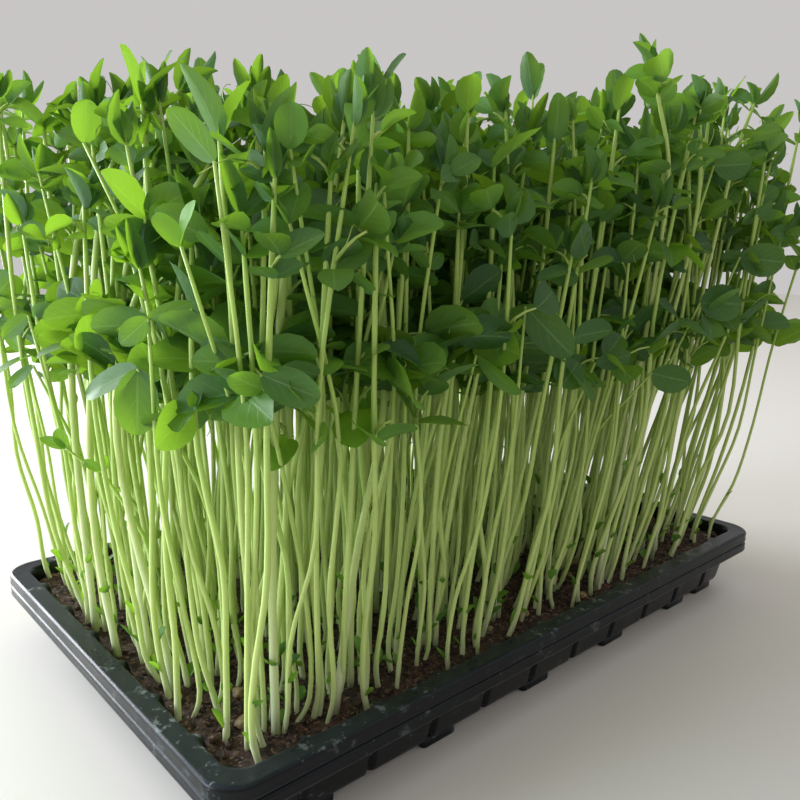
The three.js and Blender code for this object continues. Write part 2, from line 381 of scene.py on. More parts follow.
class Shader:
    """A material while its nodes are being put together."""

    def __init__(self, name: str) -> None:
        """Makes the material and empties it."""
        self.material = bpy.data.materials.new(name)
        self.material.use_nodes = True
        self.tree = self.material.node_tree
        self.tree.nodes.clear()
        self.place = self.node("ShaderNodeTexCoord").outputs["Object"]

    def node(
        self,
        kind: str,
        settings: dict[str, object] | None = None,
        inputs: dict[str | int, Feed] | None = None,
    ) -> bpy.types.Node:
        """Adds a node.

        Args:
            kind: The node's type.
            settings: Its own settings.
            inputs: What each of its sockets takes, by name or index.

        Returns:
            The node.
        """
        made = self.tree.nodes.new(kind)
        for key, value in (settings or {}).items():
            setattr(made, key, value)
        for key, value in (inputs or {}).items():
            self._feed(made.inputs[key], value)
        return made

    def _feed(self, socket: bpy.types.NodeSocket, value: Feed) -> None:
        """Links a socket to a value, or sets it."""
        if isinstance(value, Signal):
            self.tree.links.new(value.socket, socket)
        elif isinstance(value, bpy.types.NodeSocket):
            self.tree.links.new(value, socket)
        else:
            socket.default_value = value

    def noise(self, scale: float, detail: float = 3.0, roughness: float = 0.5) -> Signal:
        """Soft random patches.

        Args:
            scale: How many patches there are to a metre.
            detail: How many finer layers they have.
            roughness: How strong the finer layers are.

        Returns:
            A number from 0 to 1.
        """
        made = self.node(
            "ShaderNodeTexNoise",
            inputs={
                "Vector": self.place, "Scale": scale, "Detail": detail, "Roughness": roughness,
            },
        )
        return Signal(self, made.outputs["Fac"])

    def _cells(self, scale: float) -> bpy.types.Node:
        """Random cells, scale of them to a metre."""
        return self.node("ShaderNodeTexVoronoi", inputs={"Vector": self.place, "Scale": scale})

    def spots(self, scale: float) -> Signal:
        """The distance from random points, of which there are scale to a metre."""
        return Signal(self, self._cells(scale).outputs["Distance"])

    def chips(self, scale: float) -> Signal:
        """A number from 0 to 1 for each of the random cells, scale of them to a metre."""
        cells = self._cells(scale)
        parts = self.node("ShaderNodeSeparateColor", inputs={"Color": cells.outputs["Color"]})
        return Signal(self, parts.outputs["Red"])

    def tone(self) -> Signal:
        """The tone that the mesh gives each place."""
        made = self.node("ShaderNodeAttribute", {"attribute_name": TONE})
        return Signal(self, made.outputs["Fac"])

    def blade_map(self) -> tuple[Signal, Signal]:
        """How far across and how far along its grid a place lies."""
        made = self.node("ShaderNodeUVMap", {"uv_map": BLADE_MAP})
        parts = self.node("ShaderNodeSeparateXYZ", inputs={"Vector": made.outputs["UV"]})
        return Signal(self, parts.outputs["X"]), Signal(self, parts.outputs["Y"])

    def facing_up(self) -> Signal:
        """How much a place faces up, from -1 to 1."""
        made = self.node("ShaderNodeNewGeometry")
        parts = self.node("ShaderNodeSeparateXYZ", inputs={"Vector": made.outputs["Normal"]})
        return Signal(self, parts.outputs["Z"])

    def mix(self, share: Feed, first: Feed, second: Feed) -> bpy.types.NodeSocket:
        """Mixes two colours.

        Args:
            share: How much of the second colour shows.
            first: The first colour.
            second: The second colour.

        Returns:
            The mixed colour.
        """
        made = self.node(
            "ShaderNodeMix", {"data_type": "RGBA"}, {0: share, 6: first, 7: second},
        )
        return made.outputs[2]

    def bump(self, height: Signal, strength: float, depth: float) -> bpy.types.NodeSocket:
        """A surface's relief.

        Args:
            height: Its height from 0 to 1.
            strength: How much of it shows.
            depth: How deep it is in millimetres.

        Returns:
            The normal.
        """
        made = self.node(
            "ShaderNodeBump",
            inputs={"Strength": strength, "Distance": depth * MILLIMETRE, "Height": height},
        )
        return made.outputs["Normal"]

    def coat(self, **inputs: Feed) -> bpy.types.Node:
        """The main shader, with its sockets named with underscores for blanks."""
        named = {key.replace("_", " "): value for key, value in inputs.items()}
        return self.node("ShaderNodeBsdfPrincipled", inputs=named)

    def close(self, shader: bpy.types.Node) -> bpy.types.Material:
        """Ends the material in a shader and gives it back."""
        self.node("ShaderNodeOutputMaterial", inputs={"Surface": shader.outputs[0]})
        return self.material

    def sheer(self, coat: bpy.types.Node, glow: Colour, share: float) -> bpy.types.Material:
        """Ends the material in a coat that lets light through.

        Args:
            coat: The main shader.
            glow: The colour of the light that comes through.
            share: How much comes through.

        Returns:
            The material.
        """
        thin = self.node("ShaderNodeBsdfTranslucent", inputs={"Color": glow})
        inputs = {0: share, 1: coat.outputs[0], 2: thin.outputs[0]}
        return self.close(self.node("ShaderNodeMixShader", inputs=inputs))


@dataclass(frozen=True)
class BlackPlastic:
    """Thin black vacuum-formed sheet with a green-grey bloom, dust and dried water marks, and a
    painted bluish sky reflection on its upward faces.
    """

    dark: Colour = shade(0.004, 0.005, 0.006)
    bloom: Colour = shade(0.007, 0.011, 0.012)
    painted_sky_sheen: Colour = shade(0.034, 0.042, 0.053)
    # The painted bluish sky reflection on upward faces
    dust: Colour = shade(0.24, 0.27, 0.28)

    def material(self) -> bpy.types.Material:
        """Puts the nodes together."""
        s = Shader("black_plastic")
        clouds = s.noise(24, 4, 0.6).between(0.35, 0.7)
        marks = s.noise(170, 6, 0.7).between(0.55, 0.64) * s.noise(34, 3).between(0.4, 0.54)
        specks = 1 - s.spots(260).between(0.06, 0.2)
        specks = specks * s.noise(45, 3).between(0.5, 0.62)
        upward = s.facing_up().between(0.5, 0.95)
        dusty = (marks * 0.6 + specks * 0.5).between(0, 1) * (upward * 0.7 + 0.3)
        # Painted reflection: upward faces are painted a lighter blue-grey, as if the sky were
        # reflecting in them
        dark_with_painted_sheen = s.mix(upward * (clouds * 0.6 + 0.4), self.dark, self.painted_sky_sheen)
        colour = s.mix(dusty, s.mix(clouds * 0.5, dark_with_painted_sheen, self.bloom), self.dust)
        grain = s.noise(900, 2) * 0.4 + s.noise(70, 3) * 0.6
        shader = s.coat(
            Base_Color=colour,
            Roughness=0.26 + clouds * 0.12 + dusty * 0.35,
            Specular_IOR_Level=0.2,
            Normal=s.bump(grain, 0.35, 0.25),
        )
        return s.close(shader)


@dataclass(frozen=True)
class MoistPeat:
    """Dark moist peat, brown and reddish on its crumbs, with painted shade that makes its low hollows
    nearly black.
    """

    # Painted shade for the peat's hollows
    painted_hollow_shade: Colour = shade(0.005, 0.0035, 0.003)
    crumb: Colour = shade(0.16, 0.078, 0.05)
    pale: Colour = shade(0.36, 0.24, 0.17)

    def material(self) -> bpy.types.Material:
        """Puts the nodes together."""
        s = Shader("moist_peat")
        lumps = s.noise(330, 6, 0.75)
        chips, bits = s.chips(560), s.chips(900)
        # Painted shade: where the relief is low the peat is painted nearly black, and where it is high
        # it takes the crumbs' brown
        lit = lumps.between(0.4, 0.6) * 0.45 + chips.between(0.3, 0.9) * 0.55
        colour = s.mix(lit, self.painted_hollow_shade, self.crumb)
        colour = s.mix(bits.between(0.88, 0.94) * 0.75, colour, self.pale)
        shader = s.coat(
            Base_Color=s.mix(s.tone(), colour, self.pale),
            Roughness=0.95 - lumps.between(0.3, 0.5) * 0.2,
            Normal=s.bump(lumps + chips * 0.7 + bits * 0.3, 1.0, 2.5),
        )
        return s.close(shader)


@dataclass(frozen=True)
class PeaSkin:
    """The wrinkled beige skin of a sprouted pea."""

    dark: Colour = shade(0.13, 0.08, 0.035)
    light: Colour = shade(0.42, 0.31, 0.16)

    def material(self) -> bpy.types.Material:
        """Puts the nodes together."""
        s = Shader("pea_skin")
        wrinkles = s.noise(420, 4, 0.6)
        shader = s.coat(
            Base_Color=s.mix(wrinkles.between(0.35, 0.65), self.dark, self.light),
            Roughness=0.5 + wrinkles * 0.2,
            Normal=s.bump(wrinkles, 0.8, 0.6),
        )
        return s.close(shader)


@dataclass(frozen=True)
class StemSkin:
    """A juicy ribbed stem: nearly white at the foot, pale yellow-green, then a fuller green."""

    foot: Colour = shade(0.74, 0.78, 0.5)
    middle: Colour = shade(0.6, 0.72, 0.24)
    top: Colour = shade(0.46, 0.64, 0.14)
    glow: Colour = shade(0.66, 0.82, 0.26)
    ridges: int = 4
    through: float = 0.22

    def material(self) -> bpy.types.Material:
        """Puts the nodes together."""
        s = Shader("pea_stem")
        tone = s.tone() + (s.noise(18, 2) - 0.5) * 0.16
        across, _ = s.blade_map()
        ribs = (across * (self.ridges * 2 * math.pi)).sine() * 0.5 + 0.5
        colour = s.mix(tone.between(0, 0.35), self.foot, self.middle)
        colour = s.mix(tone.between(0.35, 0.95), colour, self.top)
        colour = s.mix(s.noise(300, 3).between(0.4, 0.7) * 0.16, colour, self.glow)
        coat = s.coat(
            Base_Color=colour,
            Roughness=0.36 + ribs * 0.12,
            Normal=s.bump(ribs * 0.6 + s.noise(500, 2) * 0.4, 0.3, 0.2),
        )
        return s.sheer(coat, self.glow, self.through)


@dataclass(frozen=True)
class LeafSkin:
    """A thin leaf with a waxy bloom, a pale midrib and side veins that the light shines through, with
    painted shade that makes it darker and bluer towards its base.
    """

    old: Colour = shade(0.02, 0.085, 0.018)
    young: Colour = shade(0.15, 0.37, 0.025)
    bloom: Colour = shade(0.1, 0.2, 0.095)
    vein: Colour = shade(0.25, 0.4, 0.16)
    glow: Colour = shade(0.34, 0.62, 0.03)
    side_veins: float = 7.0
    vein_slant: float = 4.5
    through: float = 0.36

    def material(self) -> bpy.types.Material:
        """Puts the nodes together."""
        s = Shader("pea_leaf")
        across, along = s.blade_map()
        off = abs(across - 0.5)
        rib = 1 - off.between(0.012, 0.035)
        wave = ((along * self.side_veins - off * self.vein_slant) * (2 * math.pi)).sine()
        veins = wave.between(0.86, 1) * (1 - off.between(0.3, 0.5))
        lines = (rib + veins * 0.5).between(0, 1)
        tone = (s.tone() + (s.noise(60, 3) - 0.5) * 0.5).between(0, 1)
        # Painted shade: the colour darkens a little towards the blade's base
        colour = s.mix((tone + along * 0.12 - 0.04).between(0, 1), self.old, self.young)
        wax = s.noise(34, 2).between(0.35, 0.65) * 0.4 + s.noise(150, 4).between(0.4, 0.7) * 0.15
        # The waxy bloom is the leaf's own; its growth towards the blade's base is painted bluish shade
        colour = s.mix(wax * (1.15 - along * 0.5), colour, self.bloom)
        colour = s.mix(lines * 0.45, colour, self.vein)
        relief = s.noise(330, 3) * 0.35 + (1 - lines) * 0.65
        coat = s.coat(
            Base_Color=colour,
            Roughness=0.42 + wax * 0.6,
            Normal=s.bump(relief, 0.35, 0.35),
        )
        return s.sheer(coat, self.glow, self.through)


@dataclass(frozen=True)
class PaleTable:
    """The plain pale table top."""

    colour: Colour = shade(0.84, 0.81, 0.75)
    worn: Colour = shade(0.77, 0.74, 0.68)

    def material(self) -> bpy.types.Material:
        """Puts the nodes together."""
        s = Shader("pale_table")
        haze = s.noise(3, 2).between(0.2, 0.8)
        shader = s.coat(Base_Color=s.mix(haze * 0.12, self.colour, self.worn), Roughness=0.55)
        return s.close(shader)


# The trays


@dataclass
class Outline:
    """The rounded rectangle that both trays are drawn from, with V flutes in its sides."""

    length: float = 380.0
    width: float = 240.0
    corner: float = 14.0
    flute_pitch: float = 33.5
    flute_depth: float = 2.3
    along_length: int = 10
    along_width: int = 6
    corner_steps: int = 10
    tightest: float = 5.0

    # A flute's section: its places in flute depths, and how soft its ridge and its edges are
    FLUTE_STEPS = (-1.7, -1.3, -1.08, -0.9, -0.5, -0.16, 0, 0.16, 0.5, 0.9, 1.08, 1.3, 1.7)
    RIDGE_SOFTNESS, EDGE_SOFTNESS = 0.012, 0.014

    def ring(self, inset: float, fluted: float = 1.0, grow: float = 0.0) -> Places:
        """The outline drawn in by an inset.

        Args:
            inset: How far it is drawn in.
            fluted: How much of the flutes shows, from 0 to 1.
            grow: How far it lies inside the outer wall face, which widens the flutes.

        Returns:
            The outline's places, shape (count, 2).
        """
        corner = max(self.corner - inset * 0.5, self.tightest)
        half = (self.length / 2 - inset, self.width / 2 - inset)
        flute = self.flute_depth + grow * (math.sqrt(2) - 1)
        steps = np.array(self.FLUTE_STEPS)
        ramp = 1 - np.sqrt(steps ** 2 + self.RIDGE_SOFTNESS)
        depths = flute * fluted * (ramp + np.sqrt(ramp ** 2 + self.EDGE_SOFTNESS)) / 2
        places: list[Places] = []
        turns = np.linspace(0, math.pi / 2, self.corner_steps)
        for side in range(4):
            long_side = side % 2 == 0
            reach, depth = half if long_side else half[::-1]
            along = np.array([math.cos(side * math.pi / 2), math.sin(side * math.pi / 2)])
            out = np.array([along[1], -along[0]])
            count = self.along_length if long_side else self.along_width
            for i in range(count):
                middle = (i - (count - 1) / 2) * self.flute_pitch
                spans = np.outer(middle + steps * flute, along)
                places.append(spans + np.outer(depth - depths, out))
            bend = np.outer(reach - corner + corner * np.sin(turns), along)
            places.append(bend + np.outer(depth - corner + corner * np.cos(turns), out))
        return np.concatenate(places)


@dataclass
class ThinTray:
    """One vacuum-formed tray: drafted fluted walls, a floor, a flat rim and a skirt."""

    outline: Outline
    node: str
    rim_top: float
    floor: float
    skirt: float
    inset: float
    grow: float
    sheet: float = 1.0
    slope: float = 0.2
    bead: float = 1.7
    floor_insets: tuple[float, float] = (112.0, 60.0)

    def _profile(self) -> Iterator[tuple[float, float, float, float]]:
        """The tray's section from under its middle, out, up and over, to inside its middle.

        Yields:
            Each place's inset, height, share of flutes and growth.
        """
        top, sheet, bead, skirt = self.rim_top, self.sheet, self.bead, self.rim_top - self.skirt
        low = self.inset + (top - self.floor) * self.slope
        inner, grow = self.inset + sheet, self.grow + sheet
        for inset in (*self.floor_insets, low + 14, low + 5):
            yield inset, self.floor, 0.0, 0.0
        yield low + 1.2, self.floor + 0.1, 1.0, self.grow
        yield low + 0.2, self.floor + 1.0, 1.0, self.grow
        for z in np.linspace(self.floor + 3, top - sheet - 0.6, 4):
            yield self.inset + (top - z) * self.slope, float(z), 1.0, self.grow
        yield self.inset - 1.2, top - sheet, 0.3, self.grow
        turns = [share * math.pi / 2 for share in (0.25, 0.5, 0.75, 1.0)]
        for inset, z in (
            (bead + sheet, top - sheet), (sheet + 0.2, top - sheet - 0.9), (sheet + 0.6, skirt),
            (0.75, skirt), (0.3, skirt + 0.35), (0.02, skirt + 1.0), (0.0, skirt + 1.6),
            (0.3, top - self.skirt * 0.52), (0.0, top - bead),
            *((bead * (1 - math.cos(turn)), top - bead * (1 - math.sin(turn))) for turn in turns),
            (bead + 1.4, top - 0.25),
        ):
            yield inset, z, 0.0, 0.0
        for inset, z, fluted in ((1.6, 0.1, 0.25), (0.5, 0.12, 0.8), (0.0, 0.7, 1.0)):
            yield inner - inset, top - z, fluted, grow
        for z in np.linspace(top - 3, self.floor + sheet + 2, 4):
            yield inner + (top - z) * self.slope, float(z), 1.0, grow
        yield low + sheet + 1.0, self.floor + sheet + 0.1, 1.0, grow
        for inset in (low + 6, low + 14, *self.floor_insets[::-1]):
            yield inset, self.floor + sheet, 0.0, 0.0

    def build(self, surface: Surface) -> None:
        """Adds the tray's faces to a surface."""
        rings = []
        for inset, z, fluted, grow in self._profile():
            ring = self.outline.ring(inset, fluted, grow)
            rings.append(np.column_stack([ring, np.full(len(ring), z)]))
        surface.grid(np.array(rings), ring=True, caps=True)


@dataclass
class NestedTrays:
    """The drip tray on its feet, and the growing tray that hangs on its rim."""

    stack_height: float = 38.0
    gap: float = 0.4
    upper_skirt: float = 6.5
    lower_skirt: float = 5.5
    wall_inset: float = 8.4
    floor_height: float = 4.0
    foot_length: float = 20.0
    foot_width: float = 16.0
    foot_corner: float = 2.0
    foot_sides: int = 24
    foot_grooves: tuple[float, ...] = (-4.5, -2.5, -0.5, 1.5, 3.5, 4.5)

    def __post_init__(self) -> None:
        """Works out both trays from the sizes."""
        outline = Outline()
        step = self.upper_skirt + self.gap
        self.drip = ThinTray(
            outline, "drip_tray", self.stack_height - step, self.floor_height,
            self.lower_skirt, self.wall_inset, 0.0,
        )
        self.growing = ThinTray(
            outline, "growing_tray", self.stack_height, self.floor_height + step,
            self.upper_skirt, self.growing_inset(), self.drip.sheet + self.gap,
        )

    def growing_inset(self) -> float:
        """The growing tray's wall inset at its rim."""
        return self.wall_inset + 1.0 + self.gap - (self.upper_skirt + self.gap) * 0.2

    def _feet(self) -> Iterator[tuple[float, float, float, float]]:
        """Each foot's middle and its two half sides."""
        tray = self.drip
        low = tray.inset + (tray.rim_top - tray.floor) * tray.slope
        edge = tray.outline.width / 2 - low - tray.sheet
        yield 0.0, 0.0, self.foot_length, self.foot_width
        for side in (-1, 1):
            for groove in self.foot_grooves:
                x = groove * tray.outline.flute_pitch + self.foot_length / 2 - 3
                x = min(x, tray.outline.length / 2 - low - self.foot_length / 2 - 6)
                y = side * (edge - self.foot_width / 2)
                yield -side * x, y, self.foot_length / 2, self.foot_width / 2

    def _foot(self, surface: Surface, x: float, y: float, half_x: float, half_y: float) -> None:
        """Adds one foot: a block with rounded upright and lower edges.

        Args:
            surface: What the faces are added to.
            x: The foot's middle along the tray.
            y: The foot's middle across the tray.
            half_x: Half its length.
            half_y: Half its width.
        """
        corner, sides, rings = self.foot_corner, self.foot_sides, []
        turns = np.linspace(0, 2 * math.pi, sides, endpoint=False) + math.pi / sides
        for shrink, z in ((0, 4.6), (0, 1.0), (0.3, 0.3), (1.0, 0.0)):
            reach = np.array([half_x - shrink - corner, half_y - shrink - corner])
            rings.append(np.column_stack([
                np.sign(np.cos(turns)) * reach[0] + corner * np.cos(turns) + x,
                np.sign(np.sin(turns)) * reach[1] + corner * np.sin(turns) + y,
                np.full(sides, z),
            ]))
        surface.grid(np.array(rings)[::-1], ring=True, caps=True)

    def make(self) -> None:
        """Builds, dresses and seats both trays."""
        finish = BlackPlastic().material()
        for tray in (self.drip, self.growing):
            surface = Surface()
            tray.build(surface)
            if tray is self.drip:
                for foot in self._feet():
                    self._foot(surface, *foot)
            seat(surface, f"formed_{tray.node}", [finish], tray.node)


def seat(
    surface: Surface,
    name: str,
    finishes: Sequence[bpy.types.Material],
    node: str,
) -> bpy.types.Object:
    """Makes a surface into a piece that stands for a node of the part.

    Args:
        surface: The piece's faces.
        name: The piece's name.
        finishes: Its materials.
        node: The node that it stands for.

    Returns:
        The piece.
    """
    piece = surface.piece(name, finishes)
    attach(piece, "root")
    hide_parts(node)
    LOG.info("%s: %d triangles", name, surface.triangles())
    return piece


# The growing medium


@dataclass
class GrowingMedium:
    """The peat that fills the growing tray, its crumbs and fibres, and the spent peas on it."""

    top: float = 32.0
    bottom: float = 12.6
    half_length: float = 178.0
    half_width: float = 108.0
    corner: float = 10.0
    step: float = 1.9
    crumbs: int = 900
    fibres: int = 4200
    chips: float = 0.78
    peas: int = 34
    undercut: float = 0.985
    seed: int = 4801

    # The top's swells and lumps, by their width and height, and how far it sank
    SWELLS, LUMPS, SUNK = (38.0, 1.3), (6.0, 1.5), 0.3
    POLE, DENT = 0.12, 0.16
    # A chip's and a fibre's lengths, radii and count of rings, and how far they bend
    CHIP = ((1.2, 3.6), (0.3, 0.7), 3)
    FIBRE = ((3.0, 10.0), (0.1, 0.28), 5)
    BENT = 1.2

    def _height(self, x: float, y: float) -> float:
        """How high the peat's top lies at a place."""
        (wide, swell), (small, rise) = self.SWELLS, self.LUMPS
        broad = noise.noise(Vector((x / wide, y / wide, 3.1))) * swell
        lumps = noise.fractal(Vector((x / small, y / small, 8.7)), 0.7, 2.1, 4) * rise
        return self.top - self.SUNK + broad + lumps

    def _top(self, surface: Surface) -> None:
        """Adds the bumpy top and the sides under its edge."""
        columns = round(2 * self.half_length / self.step)
        rows = round(2 * self.half_width / self.step)
        across = np.linspace(-self.half_length, self.half_length, columns)
        along = np.linspace(-self.half_width, self.half_width, rows)
        places = np.array([
            [(*self._rounded(x, y), self._height(x, y)) for x in across] for y in along
        ])
        surface.grid(places)
        edge = np.concatenate([places[0], places[1:, -1], places[-1, -2::-1], places[-2:0:-1, 0]])
        foot = edge * [self.undercut, self.undercut, 0.0] + [0.0, 0.0, self.bottom]
        surface.grid(np.array([foot, edge]), ring=True)

    def _rounded(self, x: float, y: float) -> tuple[float, float]:
        """A place drawn in where it lies outside a rounded corner."""
        over = np.array([
            abs(x) - self.half_length + self.corner, abs(y) - self.half_width + self.corner,
        ])
        reach = float(np.linalg.norm(over))
        if over.min() <= 0 or reach <= self.corner:
            return x, y
        over *= self.corner / reach
        return (
            math.copysign(self.half_length - self.corner + over[0], x),
            math.copysign(self.half_width - self.corner + over[1], y),
        )

    def _spot(self, draw: Draws, margin: float) -> tuple[float, float]:
        """A random place of the top, kept a margin from its edge."""
        return (
            draw(margin - self.half_length, self.half_length - margin),
            draw(margin - self.half_width, self.half_width - margin),
        )

    def _lump(
        self, surface: Surface, centre: Places, radii: Places, rings: int, sides: int,
        finish: int, tone: float, draw: Draws,
    ) -> None:
        """Adds an uneven lump.

        Args:
            surface: What the faces are added to.
            centre: The lump's middle.
            radii: Its three half sizes.
            rings: How many rings it has from pole to pole.
            sides: How many places a ring has.
            finish: Its finish's index.
            tone: Its tone.
            draw: The random draws for its dents.
        """
        polar = np.linspace(self.POLE, math.pi - self.POLE, rings)
        round_ = np.linspace(0, 2 * math.pi, sides, endpoint=False) + draw.turn()
        dents = 1 + self.DENT * np.sin(polar[:, None] * 3 + draw.turn()) * np.sin(round_ * 2)
        places = np.stack([
            np.sin(polar)[:, None] * np.cos(round_) * dents,
            np.sin(polar)[:, None] * np.sin(round_) * dents,
            np.cos(polar)[:, None] * np.ones(sides) * dents,
        ], axis=-1)
        surface.grid(centre + places * radii, finish, tone, ring=True, caps=True)

    def make(self) -> None:
        """Builds, dresses and seats the medium."""
        surface = Surface()
        self._top(surface)
        draw = Draws(self.seed, 5)
        for _ in range(self.crumbs):
            x, y = self._spot(draw, 3)
            size = draw(0.4, 1.0) ** 2 * 1.7 + 0.3
            radii = size * np.array([draw(0.7, 1.2), draw(0.7, 1.2), draw(0.5, 0.9)])
            centre = np.array([x, y, self._height(x, y) + size * 0.3])
            self._lump(surface, centre, radii, 4, 6, 0, draw(0, 0.35) ** 2, draw)
        for _ in range(self.fibres):
            self._fibre(surface, draw)
        for _ in range(self.peas):
            x, y = self._spot(draw, 9)
            radii = np.array([draw(3, 3.7), draw(2.7, 3.5), draw(2.3, 3)])
            centre = np.array([x, y, self._height(x, y) + draw(-1.2, 0.8)])
            self._lump(surface, centre, radii, 9, 12, 1, 0.0, draw)
        finishes = [MoistPeat().material(), PeaSkin().material()]
        seat(surface, "peat_bed", finishes, "growing_medium")

    def _fibre(self, surface: Surface, draw: Draws) -> None:
        """Adds one bent fibre, or a short thick chip, that lies on the peat."""
        x, y = self._spot(draw, 8)
        chip = draw(0, 1) < self.chips
        angle, bend = draw.turn(), draw(-self.BENT, self.BENT)
        lengths, thicknesses, count = self.CHIP if chip else self.FIBRE
        length, radius = draw(*lengths), draw(*thicknesses)
        shares = np.linspace(-0.5, 0.5, count)
        headings = angle + bend * shares
        centres = np.column_stack([
            x + length * shares * np.cos(headings),
            y + length * shares * np.sin(headings),
            np.full(count, self._height(x, y) + draw(0.2, 1.1)) + draw(-1, 1) * shares * 2,
        ])
        radii = radius * np.sin(np.linspace(0.5, math.pi - 0.5, count))
        surface.rod(centres, radii, 3, 0, draw(0.0, 0.85) ** 2.4)


# The shoots


@dataclass
class Canopy:
    """How the bed of shoots leans over and fans out as it rises."""

    columns: int = 8
    rows: int = 5
    bed_length: float = 350.0
    bed_width: float = 212.0
    soil_top: float = 32.0
    hole_depth: float = 14.0
    fan_height: float = 240.0
    fan_length: float = 0.19
    fan_width: float = 0.24
    lean: tuple[float, float] = (22.0, 12.0)
    shortest: float = 200.0
    tallest: float = 270.0
    low_corner: tuple[float, float] = (-190.0, -120.0)
    rise_direction: tuple[float, float] = (0.67, 0.743)
    rise_length: float = 140.0
    clearance: float = 0.6
    edge_room: float = 30.0
    early_power: float = 2.2

    def centre(self, row: int, column: int) -> tuple[float, float]:
        """The middle of a bunch's cell on the bed."""
        return (
            (column - (self.columns - 1) / 2) * (self.bed_length / self.columns),
            (row - (self.rows - 1) / 2) * (self.bed_width / self.rows),
        )

    def fan(self, height: float) -> float:
        """How far the canopy has leaned and fanned at a height, from 0 to 1."""
        return smooth_share(height / self.fan_height)

    def early_fan(self, height: float) -> float:
        """The same for the stems that lean out from their feet and straighten above."""
        return 1 - (1 - min(max(height / self.fan_height, 0.0), 1.0)) ** self.early_power

    def raised(self, x: float, y: float, height: float, early: bool = False) -> Places:
        """A place of the bed raised to a height, leaned and fanned."""
        fan = self.early_fan(height) if early else self.fan(height)
        return np.array([
            x * (1 + self.fan_length * fan) + self.lean[0] * fan,
            y * (1 + self.fan_width * fan) + self.lean[1] * fan,
            self.soil_top + height,
        ])

    def lowered(self, place: Places, fan: float) -> tuple[float, float]:
        """Where a place would stand on the bed if it hadn't leaned and fanned."""
        return (
            (place[0] - self.lean[0] * fan) / (1 + self.fan_length * fan),
            (place[1] - self.lean[1] * fan) / (1 + self.fan_width * fan),
        )

    def full_height(self, x: float, y: float) -> float:
        """The full height of the shoots over a place of the bed."""
        away = (x - self.low_corner[0]) * self.rise_direction[0]
        away += (y - self.low_corner[1]) * self.rise_direction[1]
        drop = (self.tallest - self.shortest) * math.exp(-max(away, 0) / self.rise_length)
        return self.tallest - drop

    def holds(self, places: Places, row: int, column: int) -> bool:
        """Whether places stay inside a bunch's own share of the canopy."""
        centre = self.centre(row, column)
        half_x = self.bed_length / self.columns / 2 - self.clearance
        half_y = self.bed_width / self.rows / 2 - self.clearance
        low_x = half_x + (self.edge_room if column == 0 else 0)
        high_x = half_x + (self.edge_room if column == self.columns - 1 else 0)
        low_y = half_y + (self.edge_room if row == 0 else 0)
        high_y = half_y + (self.edge_room if row == self.rows - 1 else 0)
        for place in places:
            x, y = self.lowered(place, self.fan(place[2] - self.soil_top))
            if not (-low_x < x - centre[0] < high_x and -low_y < y - centre[1] < high_y):
                return False
        return True


@dataclass(frozen=True)
class BladeKind:
    """A kind of leaf blade, by its size and how steeply it rises."""

    length: float
    width: float
    rise: float
    edge: tuple[tuple[float, float], ...]


BROAD_EDGE = ((0.24, 0.72), (0.54, 1.0), (0.82, 0.68))
PLAIN_EDGE = ((0.36, 0.95), (0.76, 0.8))
YOUNG = BladeKind(21.0, 10.0, 1.05, PLAIN_EDGE)
TOP = BladeKind(27.0, 17.0, 0.4, BROAD_EDGE)
LOW = BladeKind(26.0, 17.0, -0.1, PLAIN_EDGE)


@dataclass
class Blade:
    """One leaf blade: folded along its rib, drooping, with a gently waved edge."""

    base: Places
    direction: Places
    roll: float
    length: float
    width: float
    fold: float
    droop: float
    tone: float
    lopside: float = 0.0
    wave: float = 0.5
    phase: float = 0.0
    base_fullness: float = 0.52
    tip_fullness: float = 0.5
    rows: int = 7
    columns: int = 5

    def axes(self) -> tuple[Places, Places]:
        """The unit vectors across the blade and out of its face."""
        flat = np.cross(self.direction, UP)
        side = turned(unit(flat), self.direction, self.roll)
        return side, unit(np.cross(side, self.direction))

    def edge(self, kind: BladeKind) -> Places:
        """The places of the outline that the part's own solid has."""
        side, face = self.axes()
        both = [(0.0, 0.0), *kind.edge, (1.0, 0.0), *((a, -c) for a, c in kind.edge)]
        return np.array([
            self.base + self.direction * along * self.length + side * across * self.width / 2
            + face * (self.fold * abs(across) * self.width / 2 - self.droop * along ** 2 * self.length)
            for along, across in both
        ])

    def grid(self) -> Places:
        """The blade's rows of places, from its base to its tip."""
        side, face = self.axes()
        along = (1 - np.cos(np.linspace(0, math.pi, self.rows))) / 2
        across = np.linspace(-1, 1, self.columns)
        widest = self.base_fullness / (self.base_fullness + self.tip_fullness)
        inner = np.clip(along, 0.004, 0.994)
        body = (inner / widest) ** self.base_fullness
        body *= ((1 - inner) / (1 - widest)) ** self.tip_fullness
        spread = np.outer(body, across)
        spread = np.where(across < 0, spread * (1 - self.lopside), spread)
        swing = np.sin(along * 5.2 + self.phase)[:, None] * across * self.wave
        lift = (
            self.fold * np.abs(spread) ** 1.15 * self.width / 2
            - self.droop * along[:, None] ** 2 * self.length
            + swing * np.abs(across)
        )
        return (
            self.base
            + np.multiply.outer(along * self.length, self.direction)[:, None, :]
            + np.multiply.outer(spread * self.width / 2, side)
            + np.multiply.outer(lift, face)
        )


class Finish(Enum):
    """The finishes of a bunch's faces."""

    STEM = 0
    LEAF = 1


